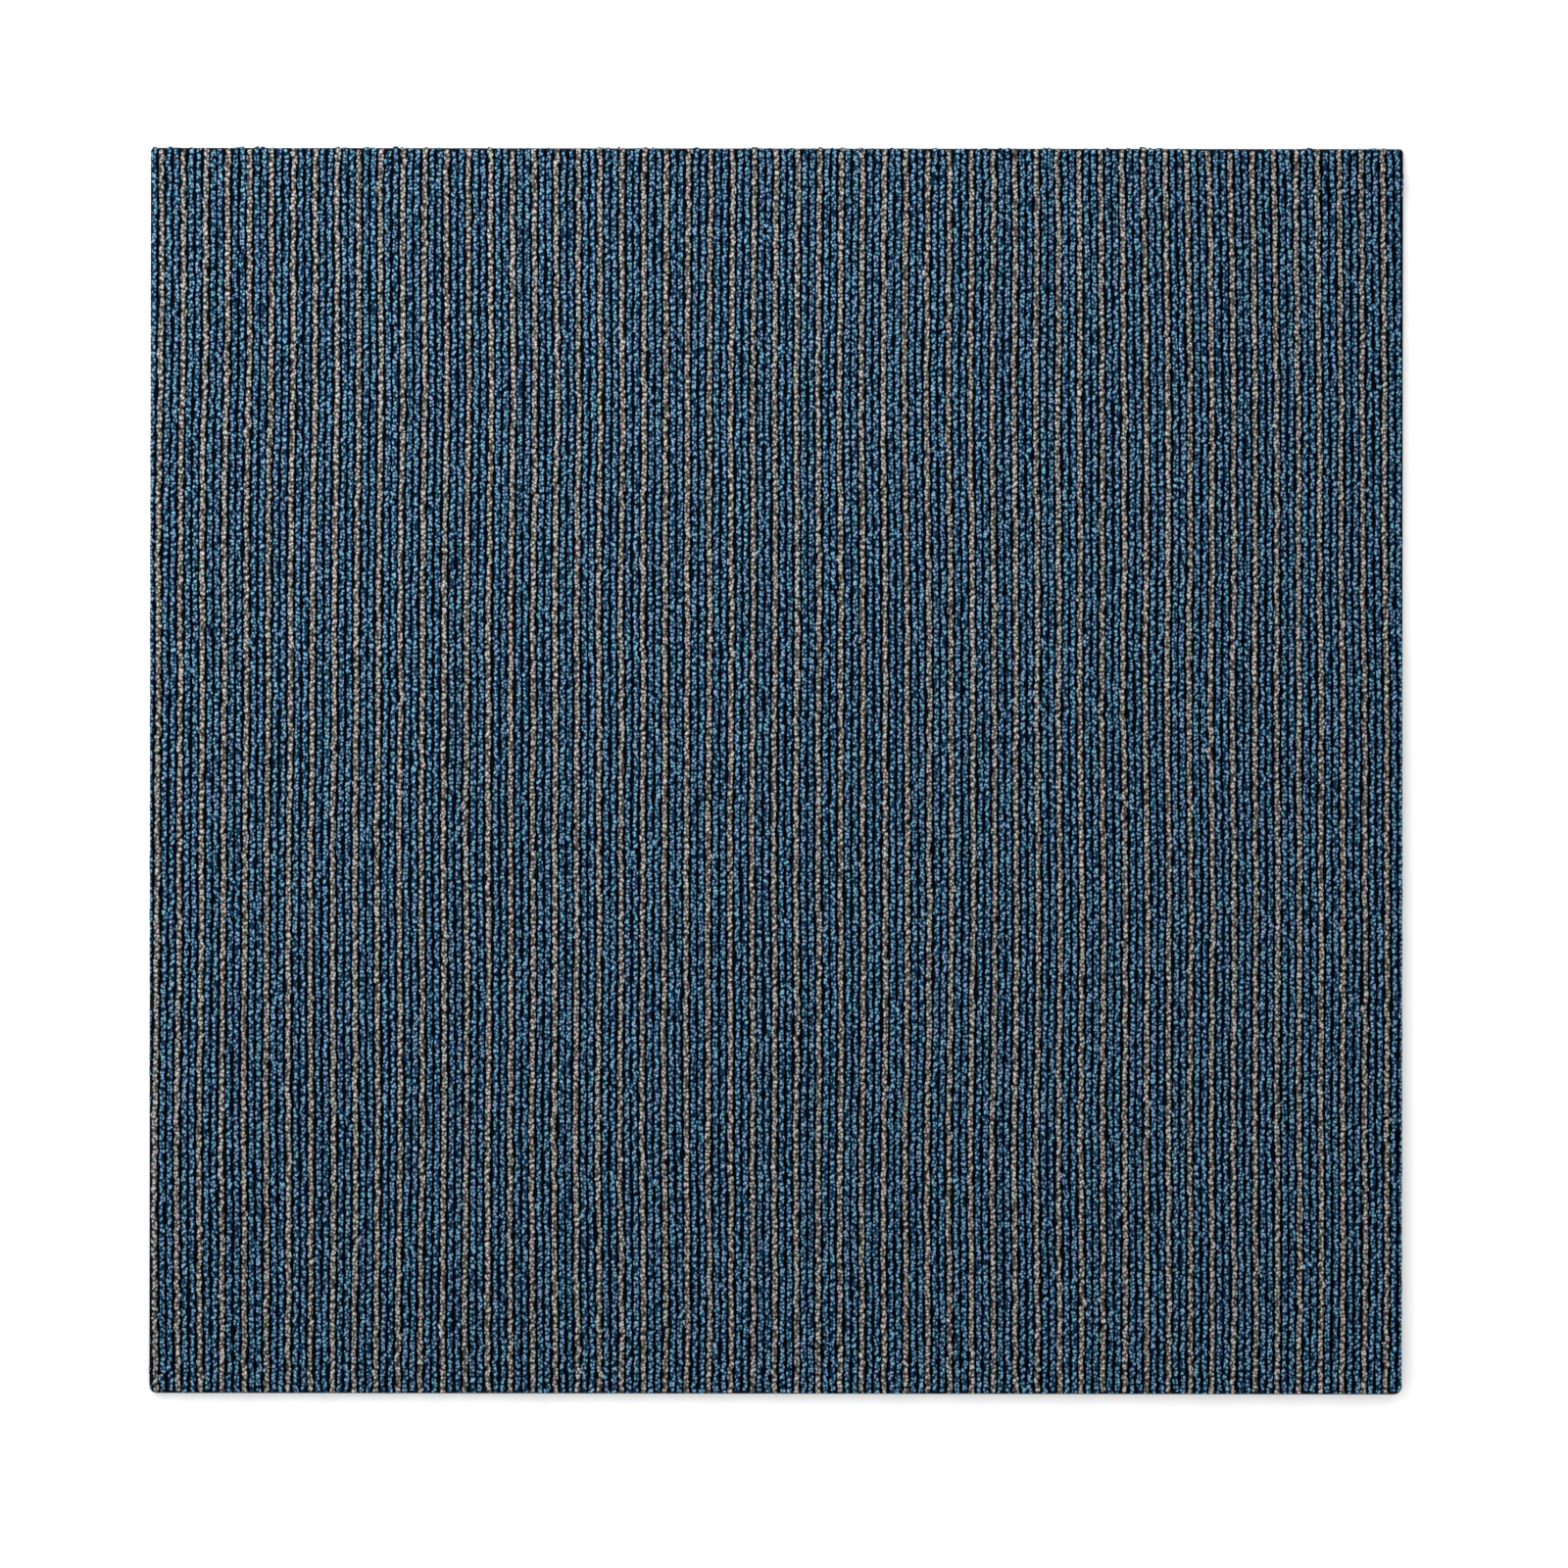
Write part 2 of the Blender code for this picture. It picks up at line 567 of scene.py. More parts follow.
@dataclass(frozen=True)
class BackingFinish:
    """Filled black compound, with a glass scrim showing in its cut edge and a fleece skin below.

    Scales are in cells a metre, and heights are above the underside.
    """

    name: str = "backing_compound"
    compound: Colour = (0.018, 0.018, 0.020)
    chip: Colour = (0.055, 0.055, 0.058)
    scrim: Colour = (0.30, 0.30, 0.29)
    fleece: Colour = (0.035, 0.036, 0.038)
    fleece_fibre: Colour = (0.12, 0.12, 0.125)
    grit_scale: float = 1600.0
    grit_detail: float = 3.0
    chip_range: Range = (0.58, 0.72)
    wave_scale: float = 180.0
    wave_detail: float = 1.0
    wave_size: float = 0.3 * MM
    scrim_height: float = 1.50 * MM
    scrim_half: Range = (0.06 * MM, 0.13 * MM)
    thread_scale: float = 900.0
    thread_range: Range = (0.35, 0.6)
    thread_shares: Range = (0.15, 0.8)
    fleece_range: Range = (0.35 * MM, 0.50 * MM)

    def material(self, group: bpy.types.NodeTree) -> bpy.types.Material:
        """Makes the material.

        Args:
            group: The matted fibre group.

        Returns:
            The finished material.
        """
        w, shader, made = principled(self.name, roughness=0.7)
        place = w.place()
        _, _, height = w.parts(place)
        grit = w.noise(place, self.grit_scale, self.grit_detail)
        body = w.mix(w.ramp(grit, *self.chip_range), self.compound, self.chip)
        wave = w.noise(place, self.wave_scale, self.wave_detail)
        wavy = w.math("MULTIPLY_ADD", wave, self.wave_size, height)
        off = w.math("ABSOLUTE", w.math("SUBTRACT", wavy, self.scrim_height))
        thread = w.noise(place, self.thread_scale)
        thread = w.ramp(thread, *self.thread_range, self.thread_shares)
        line = w.math("MULTIPLY", w.ramp(off, *self.scrim_half, (1.0, 0.0)), thread)
        lined = w.mix(line, body, self.scrim)
        values = {"Base": self.fleece, "Fibre": self.fleece_fibre}
        felt = w.node("ShaderNodeGroup", values, node_tree=group)
        skin = w.ramp(wavy, *self.fleece_range, (1.0, 0.0))
        w.feed(shader.inputs["Base Color"], w.mix(skin, lined, felt.outputs["Colour"]))
        rough = w.math("ADD", grit, felt.outputs["Relief"])
        relief_normal(w, shader, rough, strength=0.5, depth=0.15 * MM)
        return made


@dataclass(frozen=True)
class FloorFinish:
    """Plain pale studio floor, with faint wide clouds."""

    name: str = "pale_floor"
    colour: Colour = (0.90, 0.90, 0.90)
    cloud_share: float = 0.985
    cloud_scale: float = 3.0
    cloud_detail: float = 2.0

    def material(self) -> bpy.types.Material:
        """Makes the material.

        Returns:
            The finished material.
        """
        w, shader, made = principled(self.name, roughness=0.9, Specular_IOR_Level=0.1)
        dim = tuple(self.cloud_share * part for part in self.colour)
        clouds = w.noise(w.place(), self.cloud_scale, self.cloud_detail)
        w.feed(shader.inputs["Base Color"], w.mix(clouds, self.colour, dim))
        return made


@dataclass
class LoopShape:
    """One upright loop of yarn in the plane of its row: a tip in the cloth, three rings and a tip.

    The crown stands at Z = height over a foot level of Z = 0, and the row runs along Y.
    """

    half_width: float = 1.26 * MM
    half_thickness: float = 0.98 * MM
    height: float = 2.65 * MM
    shoulder: float = 0.86 * MM
    shoulder_drop: float = 0.24 * MM
    shoulder_width: float = 0.93
    shoulder_tilt: float = 0.85
    foot: float = 0.62 * MM
    foot_depth: float = 0.55 * MM
    lean: float = 0.0
    turn: float = 0.0

    TOP_DEGREES = 54.0
    SECTION_DEGREES = (270.0, 342.0, TOP_DEGREES, 126.0, 198.0)
    ROUND_SHARES = (0.0, 0.14, 0.36, 0.64, 0.86, 1.0)
    BAKE_ALONG = (0.0, 0.24, 0.5, 0.76, 1.0)
    YARN_ALONG = (0.0, 0.3, 0.5, 0.7, 1.0)
    CELL_MARGIN = 0.06

    def ring(
        self, shape: bmesh.types.BMesh, centre: Vector, tilt: float, width: float
    ) -> list[bmesh.types.BMVert]:
        """Adds the five corners of one section.

        Args:
            shape: The mesh in work.
            centre: Middle of the section.
            tilt: Turn of the section about X, in radians.
            width: Share of the full half width.

        Returns:
            The corners, from the underside round by +X.
        """
        out = Vector((0.0, math.sin(tilt), math.cos(tilt)))
        corners = []
        for degrees in self.SECTION_DEGREES:
            angle = math.radians(degrees)
            aside = Vector((self.half_width * width * math.cos(angle), 0, 0))
            raised = out * (self.half_thickness * math.sin(angle))
            corners.append(shape.verts.new(centre + aside + raised))
        return corners

    def mesh(self, name: str) -> bpy.types.Mesh:
        """Builds the loop, closed, with its yarn map and its cell of the bake map.

        Args:
            name: Name of the mesh.

        Returns:
            The new mesh.
        """
        shape = bmesh.new()
        crown = self.height - self.half_thickness * math.sin(math.radians(self.TOP_DEGREES))
        side = crown - self.shoulder_drop
        tips = [shape.verts.new((0.0, sign * self.foot, -self.foot_depth)) for sign in (-1, 1)]
        sections = (
            (Vector((-self.turn, -self.shoulder, side)), -self.shoulder_tilt, self.shoulder_width),
            (Vector((self.lean, 0.0, crown)), 0.0, 1.0),
            (Vector((self.turn, self.shoulder, side)), self.shoulder_tilt, self.shoulder_width),
        )
        rings = [self.ring(shape, *section) for section in sections]
        maps = [shape.loops.layers.uv.new(label) for label in (YARN_MAP, BAKE_MAP)]
        count = len(self.SECTION_DEGREES)
        for k in range(count):
            after = (k + 1) % count
            middle = k + 0.5
            low = rings[0]
            corners = [(tips[0], middle, 0), (low[k], k, 1), (low[after], k + 1, 1)]
            self.face(shape, maps, corners)
            for row, high in enumerate(rings[1:], start=1):
                corners = [(low[k], k, row), (high[k], k, row + 1)]
                corners += [(high[after], k + 1, row + 1), (low[after], k + 1, row)]
                self.face(shape, maps, corners)
                low = high
            corners = [(low[k], k, 3), (tips[1], middle, 4), (low[after], k + 1, 3)]
            self.face(shape, maps, corners)
        bmesh.ops.recalc_face_normals(shape, faces=shape.faces)
        made = bpy.data.meshes.new(name)
        shape.to_mesh(made)
        shape.free()
        return made

    def face(self, shape: bmesh.types.BMesh, maps: list, corners: list[tuple]) -> None:
        """Adds one face and places it in both maps.

        Args:
            shape: The mesh in work.
            maps: Layers of the yarn map and of the bake map.
            corners: Vertex, steps round the yarn and station along it, for each corner.
        """
        yarn, bake = maps
        inner = 1.0 - 2 * self.CELL_MARGIN
        made = shape.faces.new([vertex for vertex, _, _ in corners])
        for loop, (_, steps, station) in zip(made.loops, corners):
            low = int(steps)
            share = self.ROUND_SHARES[low]
            if steps != low:
                share = (share + self.ROUND_SHARES[low + 1]) / 2
            loop[yarn].uv = (steps / len(self.SECTION_DEGREES), self.YARN_ALONG[station])
            cell = (share, self.BAKE_ALONG[station])
            loop[bake].uv = [self.CELL_MARGIN + inner * value for value in cell]


@dataclass
class PileRules:
    """How the rows lie and how far the loops stray from them.

    Each field is an input of the Geometry Nodes tree, under its own name.
    """

    all_rows: int = 172
    stripe_repeat: int = 3
    taupe_row: int = 1
    row_pitch: float = 2.9352 * MM
    loop_pitch: float = 2.66 * MM
    fan: float = 0.00536
    pinch: float = 0.00356
    bow: float = 1.22 * MM
    lean: float = -0.02 * MM
    shift: float = -0.33 * MM
    slow_wander: float = 0.28 * MM
    row_wander: float = 0.06 * MM
    loop_wander: float = 0.16 * MM
    jitter: float = 0.05 * MM
    roughen: float = 0.12 * MM
    stray_share: float = 0.015
    sunken_share: float = 0.005
    half_width: float = 251.05 * MM
    half_length: float = 249.4 * MM
    ripple: float = 0.07 * MM
    top_fringe: float = 0.5 * MM
    corner_radius: float = 3.1 * MM
    seed: int = 7


class Draw(Enum):
    """A number drawn for each loop or row: its salt, its least value and its greatest."""

    PHASE = (1, 0.0, 1.0)
    NUDGE = (2, -0.12, 0.12)
    STRAY = (3, 0.0, 1.0)
    SUNKEN = (4, 0.0, 1.0)
    JITTER = (5, -1.0, 1.0)
    STRAY_SHIFT = (6, -0.8 * MM, 0.8 * MM)
    TWIST = (7, -0.10, 0.10)
    STRAY_TWIST = (8, -0.7, 0.7)
    TILT_X = (9, -0.10, 0.10)
    TILT_Y = (10, -0.04, 0.04)
    PLUMPNESS = (11, 0.96, 1.04)
    LENGTH = (12, 1.08, 1.24)
    TALLNESS = (13, -0.02, 0.02)
    TONE = (14, 0.2, 0.8)
    TINT = (15, 0.36, 0.64)
    SHAPE = (16, 0.0, 1.0)
    ROW_TONE = (17, -0.35, 0.35)


class Drift(Enum):
    """A smooth random field over the rows.

    Its salt, the cells from one row to the next, the length of a cell along the row, and its
    standard deviation, or nothing where an input gives that.
    """

    ROW_WANDER = (20.0, 0.63, 0.030, None)
    LOOP_WANDER = (30.0, 1.71, 0.0042, None)
    TWIST = (40.0, 2.31, 0.006, 0.12)
    PLUMPNESS = (50.0, 1.37, 0.011, 0.03)
    TALLNESS = (60.0, 0.91, 0.014, 0.01)
    TONE = (70.0, 3.1, 0.009, 0.08)
    TINT = (80.0, 4.3, 0.008, 0.13)


@dataclass(frozen=True)
class LoopFacts:
    """What the tree knows of each loop.

    The row's number, the loop's own number, its place along the row, 1 where it stands out of
    line, and 1 where it is pulled down.
    """

    row: Socket
    loop: Socket
    y: Socket
    stray: Socket
    sunken: Socket


class LoopTree:
    """The Geometry Nodes tree that lays out the loops of one yarn in a band of rows."""

    OWN_INPUTS = {
        "Loop Shapes": "NodeSocketCollection",
        "Shape Count": "NodeSocketInt",
        "First Row": "NodeSocketInt",
        "Rows": "NodeSocketInt",
        "Loops Per Row": "NodeSocketInt",
        "Taupe": "NodeSocketBool",
        "Foot Level": "NodeSocketFloat",
        "Yarn Width": "NodeSocketFloat",
        "Material": "NodeSocketMaterial",
    }
    # Noise in Blender spreads this far about its middle, so that a drift's size is its deviation
    NOISE_SPREAD = 0.135
    # Keeps the plane where a drift is read off the noise's cell borders
    NOISE_PLANE = 0.37
    # More than the loops of a row, so that each loop of the tile has its own number
    NUMBERS_A_ROW = 997.0
    # Keeps the highest pick below the number of shapes
    PICK_MARGIN = 0.01
    SLOW_SALT = 10.0
    SLOW_CELL = (0.08, 0.10)
    FRINGE_SALT = 90.0
    FRINGE_CELL = 0.0045
    FRINGE_LINE = 0.5
    RIPPLE_SALT = 95.0
    RIPPLE_CELL = 0.006
    ROUGHEN_SCALE = 950.0
    STRAY_SWELLING = 0.12
    SUNKEN_DROP = -0.32
    FAR_CORNER_SHARE = 0.5
    END_RIPPLE_SHARE = 0.5
    # Loops whose middles lie further than this past the outline are left out
    PAST_SIDE = 0.5 * MM
    PAST_END = 0.4 * MM
    NEAR_ZERO = 1e-7

    def __init__(self) -> None:
        """Builds the tree."""
        self.tree = bpy.data.node_groups.new("loop_rows", "GeometryNodeTree")
        kinds = {int: "NodeSocketInt", float: "NodeSocketFloat"}
        inputs = {label_of(rule.name): kinds[type(rule.default)] for rule in fields(PileRules)}
        for name, kind in (self.OWN_INPUTS | inputs).items():
            self.tree.interface.new_socket(name=name, in_out="INPUT", socket_type=kind)
        self.tree.interface.new_socket(
            name="Geometry", in_out="OUTPUT", socket_type="NodeSocketGeometry"
        )
        self.w = Wiring(self.tree)
        self.given = self.w.node("NodeGroupInput").outputs
        points, side = self.laid_out_points()
        mesh = self.roughened(self.realized_loops(points))
        mesh = self.mapped(self.trimmed(mesh), side)
        smooth = self.w.first("GeometryNodeSetShadeSmooth", {0: mesh})
        values = {"Geometry": smooth, "Material": self.given["Material"]}
        final = self.w.first("GeometryNodeSetMaterial", values)
        self.w.node("NodeGroupOutput", {0: final})

    def random(self, draw: Draw, number: Socket, high: Socket | None = None) -> Socket:
        """A number drawn for each loop or row.

        Args:
            draw: Which number.
            number: What tells one loop or row from another.
            high: Its greatest value, where an input gives it.

        Returns:
            The random number.
        """
        salt, least, greatest = draw.value
        seed = self.w.math("ADD", self.given["Seed"], float(salt))
        values = {"Min": least, "Max": greatest if high is None else high}
        values |= {"ID": number, "Seed": seed}
        return self.w.out(self.w.node("FunctionNodeRandomValue", values, data_type="FLOAT"))

    def field(self, across: object, along: object, salt: float, size: object) -> Socket:
        """A smooth random field.

        Args:
            across: First coordinate, in cells.
            along: Second coordinate, in cells.
            salt: What tells one field from another.
            size: Its standard deviation.

        Returns:
            The field's value, about zero.
        """
        w = self.w
        plane = w.math("ADD", self.given["Seed"], salt + self.NOISE_PLANE)
        found = w.noise(w.vector(across, along, plane))
        centred = w.math("DIVIDE", w.math("SUBTRACT", found, 0.5), self.NOISE_SPREAD)
        return w.math("MULTIPLY", centred, size)

    def drift(self, drift: Drift, row: Socket, y: Socket, size: Socket | None = None) -> Socket:
        """A smooth random field over the rows.

        Args:
            drift: Which field.
            row: Number of the row.
            y: Place along the row.
            size: Its standard deviation, where an input gives it.

        Returns:
            The field's value, about zero.
        """
        salt, step, length, deviation = drift.value
        across, along = self.w.math("MULTIPLY", row, step), self.w.math("DIVIDE", y, length)
        return self.field(across, along, salt, deviation if size is None else size)

    def whole_share(self, index: Socket, count: Socket) -> Socket:
        """The whole number of times that count goes into an index, safe from rounding."""
        w = self.w
        return w.math("FLOOR", w.math("DIVIDE", w.math("ADD", index, 0.5), count))

    def laid_out_points(self) -> tuple[Socket, Socket]:
        """One point for each loop of this yarn, with its place, turn, size and tone stored on it.

        Returns:
            The points and the number of cells on a side of the bake map.
        """
        w, given = self.w, self.given
        per_row = given["Loops Per Row"]
        index = w.first("GeometryNodeInputIndex")
        row = w.math("ADD", given["First Row"], self.whole_share(index, per_row))
        step = w.math("MODULO", index, per_row)
        loop = w.math("MULTIPLY_ADD", row, self.NUMBERS_A_ROW, step)
        facts = LoopFacts(
            row=row,
            loop=loop,
            y=self.along_row(row, step, loop),
            stray=w.math("LESS_THAN", self.random(Draw.STRAY, loop), given["Stray Share"]),
            sunken=w.math("LESS_THAN", self.random(Draw.SUNKEN, loop), given["Sunken Share"]),
        )
        x = self.across_rows(facts)
        count = w.math("MULTIPLY", given["Rows"], per_row)
        position = w.vector(x, facts.y, given["Foot Level"])
        points = w.first("GeometryNodePoints", {"Count": count, "Position": position})
        values = {"Geometry": self.stored_facts(points, facts), "Selection": self.unused(x, facts)}
        points = w.first("GeometryNodeDeleteGeometry", values, domain="POINT")
        size = w.node("GeometryNodeAttributeDomainSize", {0: points}, component="POINTCLOUD")
        side = w.math("CEIL", w.math("SQRT", w.out(size, "Point Count")))
        again = w.first("GeometryNodeInputIndex")
        cell = w.vector(w.math("MODULO", again, side), self.whole_share(again, side))
        return self.store(points, CELL, cell, "FLOAT_VECTOR"), side

    def along_row(self, row: Socket, step: Socket, loop: Socket) -> Socket:
        """Place of a loop along its row.

        Args:
            row: Number of the row.
            step: Number of the loop in its row.
            loop: The loop's own number.

        Returns:
            Y of the loop.
        """
        w, given = self.w, self.given
        phase = self.random(Draw.PHASE, row)
        half_row = w.math("MULTIPLY_ADD", given["Loops Per Row"], -0.5, phase)
        even = w.math("MULTIPLY", w.math("ADD", step, half_row), given["Loop Pitch"])
        nudge = w.math("MULTIPLY", self.random(Draw.NUDGE, loop), given["Loop Pitch"])
        return w.math("ADD", even, nudge)

    def across_rows(self, facts: LoopFacts) -> Socket:
        """Place of a loop across the rows, which fan, bow and wander.

        Args:
            facts: What is known of the loop.

        Returns:
            X of the loop.
        """
        w, given, row, y = self.w, self.given, facts.row, facts.y
        middle = w.math("MULTIPLY_ADD", given["All Rows"], -0.5, 0.5)
        straight = w.math("MULTIPLY", w.math("ADD", row, middle), given["Row Pitch"])
        up = w.math("DIVIDE", y, given["Half Length"])
        spread = w.math("MULTIPLY_ADD", up, w.math("MULTIPLY", given["Fan"], -1.0), 1.0)
        pinch = w.math("MULTIPLY", given["Pinch"], -1.0)
        spread = w.math("MULTIPLY_ADD", w.math("MULTIPLY", up, up), pinch, spread)
        turn = w.math("MULTIPLY", w.math("DIVIDE", straight, given["Half Width"]), math.pi / 2)
        cells = [w.math("DIVIDE", at, cell) for at, cell in zip((straight, y), self.SLOW_CELL)]
        stray_shift = self.random(Draw.STRAY_SHIFT, facts.loop)
        offsets = (
            w.math("MULTIPLY", w.math("COSINE", turn), given["Bow"]),
            w.math("MULTIPLY_ADD", up, given["Lean"], given["Shift"]),
            self.field(*cells, self.SLOW_SALT, given["Slow Wander"]),
            self.drift(Drift.ROW_WANDER, row, y, given["Row Wander"]),
            self.drift(Drift.LOOP_WANDER, row, y, given["Loop Wander"]),
            w.math("MULTIPLY", self.random(Draw.JITTER, facts.loop), given["Jitter"]),
            w.math("MULTIPLY", facts.stray, stray_shift),
        )
        x = w.math("MULTIPLY", straight, spread)
        for offset in offsets:
            x = w.math("ADD", x, offset)
        return x

    def unused(self, x: Socket, facts: LoopFacts) -> Socket:
        """Which loops are left out: those of the other yarn, and those past the outline.

        Args:
            x: Place across the rows.
            facts: What is known of the loop.

        Returns:
            1 for a loop that is left out.
        """
        w, given = self.w, self.given
        other = w.math("ABSOLUTE", w.math("SUBTRACT", self.is_taupe(facts.row), given["Taupe"]))
        kept = []
        for at, half, past in (
            (x, given["Half Width"], self.PAST_SIDE),
            (facts.y, given["Half Length"], self.PAST_END),
        ):
            kept.append(w.math("LESS_THAN", w.math("ABSOLUTE", at), w.math("ADD", half, past)))
        outside = w.math("SUBTRACT", 1.0, w.math("MULTIPLY", *kept))
        return w.math("MAXIMUM", outside, other)

    def is_taupe(self, row: Socket) -> Socket:
        """Tells the yarn of a row. One past either end has the yarn of its neighbour.

        Args:
            row: Number of the row.

        Returns:
            1 for taupe, and 0 for blue.
        """
        w, given = self.w, self.given
        last = w.math("SUBTRACT", given["All Rows"], 1.0)
        inside = w.math("MINIMUM", w.math("MAXIMUM", row, 0.0), last)
        place = w.math("MODULO", inside, given["Stripe Repeat"])
        return w.math("COMPARE", place, given["Taupe Row"], 0.1)

    def store(
        self, geometry: Socket, name: str, value: Socket, kind: str, domain: str = "POINT"
    ) -> Socket:
        """Keeps a value on the geometry under a name."""
        node, values = "GeometryNodeStoreNamedAttribute", {"Geometry": geometry, "Name": name}
        return self.w.first(node, values | {"Value": value}, data_type=kind, domain=domain)

    def read(self, name: str) -> Socket:
        """Reads a kept vector by its name."""
        node, values = "GeometryNodeInputNamedAttribute", {"Name": name}
        return self.w.out(self.w.node(node, values, data_type="FLOAT_VECTOR"), "Attribute")

    def stored_facts(self, points: Socket, facts: LoopFacts) -> Socket:
        """Keeps each loop's turn, size, tone and tint.

        Args:
            points: One point for each loop.
            facts: What is known of each loop.

        Returns:
            The points with their attributes.
        """
        w, given, row, loop, y = self.w, self.given, facts.row, facts.loop, facts.y
        twist = w.math("ADD", self.drift(Drift.TWIST, row, y), self.random(Draw.TWIST, loop))
        twist = w.math("MULTIPLY_ADD", facts.stray, self.random(Draw.STRAY_TWIST, loop), twist)
        turn = w.vector(self.random(Draw.TILT_X, loop), self.random(Draw.TILT_Y, loop), twist)
        plump = self.drift(Drift.PLUMPNESS, row, y)
        plump = w.math("ADD", plump, self.random(Draw.PLUMPNESS, loop))
        plump = w.math("MULTIPLY_ADD", facts.stray, self.STRAY_SWELLING, plump)
        width = w.math("MULTIPLY", plump, given["Yarn Width"])
        tall = w.math("ADD", self.drift(Drift.TALLNESS, row, y), 1.0)
        tall = w.math("ADD", tall, self.random(Draw.TALLNESS, loop))
        tall = w.math("MULTIPLY_ADD", facts.sunken, self.SUNKEN_DROP, tall)
        size = w.vector(width, self.random(Draw.LENGTH, loop), tall)
        tone = w.math("ADD", self.drift(Drift.TONE, row, y), self.random(Draw.TONE, loop))
        tone = w.math("ADD", tone, self.random(Draw.ROW_TONE, row))
        tint = w.math("ADD", self.drift(Drift.TINT, row, y), self.random(Draw.TINT, loop))
        for name, value in ((TURN, turn), (SIZE, size)):
            points = self.store(points, name, value, "FLOAT_VECTOR")
        for name, value in ((TONE, tone), (TINT, tint)):
            points = self.store(points, name, value, "FLOAT")
        return points

    def realized_loops(self, points: Socket) -> Socket:
        """Puts a loop on each point.

        Args:
            points: One point for each loop.

        Returns:
            All the loops as one mesh.
        """
        w, given = self.w, self.given
        values = {"Collection": given["Loop Shapes"], "Separate Children": True}
        shapes = w.first("GeometryNodeCollectionInfo", values | {"Reset Children": True})
        last = w.math("SUBTRACT", given["Shape Count"], self.PICK_MARGIN)
        pick = self.random(Draw.SHAPE, w.first("GeometryNodeInputIndex"), last)
        values = {
            "Points": points,
            "Instance": shapes,
            "Pick Instance": True,
            "Instance Index": w.math("FLOOR", pick),
            "Rotation": w.first("FunctionNodeEulerToRotation", {0: self.read(TURN)}),
            "Scale": self.read(SIZE),
        }
        placed = w.first("GeometryNodeInstanceOnPoints", values)
        return w.first("GeometryNodeRealizeInstances", {0: placed})

    def roughened(self, mesh: Socket) -> Socket:
        """Shifts the vertices a little, so that no two loops are alike.

        Args:
            mesh: All the loops.

        Returns:
            The loops with their shifted vertices.
        """
        w = self.w
        place = w.first("GeometryNodeInputPosition")
        values = {"Vector": place, "Scale": self.ROUGHEN_SCALE, "Detail": 0.0}
        cloud = w.node("ShaderNodeTexNoise", values).outputs[1]
        centred = w.vector_math("SUBTRACT", cloud, (0.5, 0.5, 0.5))
        shift = w.scaled(centred, w.math("DIVIDE", self.given["Roughen"], self.NOISE_SPREAD))
        return w.first("GeometryNodeSetPosition", {"Geometry": mesh, "Offset": shift})

    def trimmed(self, mesh: Socket) -> Socket:
        """Presses what stands beyond the die-cut outline back to it, with rounded corners.

        Args:
            mesh: All the loops.

        Returns:
            The loops within the outline.
        """
        w, given = self.w, self.given
        x, y, z = w.parts(w.first("GeometryNodeInputPosition"))
        far = w.math("GREATER_THAN", y, 0.0)
        line = w.math("DIVIDE", x, self.FRINGE_CELL)
        fringe = self.field(line, self.FRINGE_LINE, self.FRINGE_SALT, given["Top Fringe"])
        cells = [w.math("DIVIDE", at, self.RIPPLE_CELL) for at in (x, y)]
        ripple = self.field(*cells, self.RIPPLE_SALT, given["Ripple"])
        end_ripple = w.math("MULTIPLY", ripple, self.END_RIPPLE_SHARE)
        far_fringe = w.math("MULTIPLY", w.math("ABSOLUTE", fringe), far)
        half_x = w.math("ADD", given["Half Width"], ripple)
        half_y = w.math("ADD", w.math("ADD", given["Half Length"], end_ripple), far_fringe)
        corner_share = w.math("MULTIPLY_ADD", far, self.FAR_CORNER_SHARE - 1.0, 1.0)
        radius = w.math("MULTIPLY", given["Corner Radius"], corner_share)
        # What lies past the middle of a corner's round, on both axes, is measured from there
        inner = [w.math("SUBTRACT", half, radius) for half in (half_x, half_y)]
        over = [w.math("SUBTRACT", w.math("ABSOLUTE", at), i) for at, i in zip((x, y), inner)]
        past = [w.math("MAXIMUM", o, 0.0) for o in over]
        reach = w.math("SQRT", w.math("ADD", *(w.math("MULTIPLY", p, p) for p in past)))
        share = w.math("DIVIDE", radius, w.math("MAXIMUM", reach, self.NEAR_ZERO))
        share = w.math("MINIMUM", share, 1.0)
        pressed = []
        for k, at in enumerate((x, y)):
            inside = w.math("ADD", inner[k], w.math("MINIMUM", over[k], 0.0))
            size = w.math("MULTIPLY_ADD", past[k], share, inside)
            pressed.append(w.math("MULTIPLY", w.math("SIGN", at), size))
        values = {"Geometry": mesh, "Position": w.vector(*pressed, z)}
        return w.first("GeometryNodeSetPosition", values)

    def mapped(self, mesh: Socket, side: Socket) -> Socket:
        """Gives each loop its own cell of the bake map, and drops what only the tree needs.

        Args:
            mesh: All the loops.
            side: Cells on a side of the bake map.

        Returns:
            The mesh with its final maps.
        """
        w = self.w
        moved = w.vector_math("ADD", self.read(BAKE_MAP), self.read(CELL))
        scaled = w.scaled(moved, w.math("DIVIDE", 1.0, side))
        mesh = self.store(mesh, BAKE_MAP, scaled, "FLOAT2", "CORNER")
        for name in (CELL, TURN, SIZE):
            mesh = w.first("GeometryNodeRemoveAttribute", {"Geometry": mesh, "Name": name})
        return mesh

    def identifiers(self) -> dict[str, str]:
        """The identifier of each input by its name."""
        items = (i for i in self.tree.interface.items_tree if i.item_type == "SOCKET")
        return {i.name: i.identifier for i in items if i.in_out == "INPUT"}


def in_scene(name: str, data: bpy.types.ID) -> bpy.types.Object:
    """Makes an object and puts it in the scene.

    Args:
        name: Its name.
        data: Its mesh, light or camera.

    Returns:
        The object, at the origin.
    """
    made = bpy.data.objects.new(name, data)
    bpy.context.scene.collection.objects.link(made)
    return made


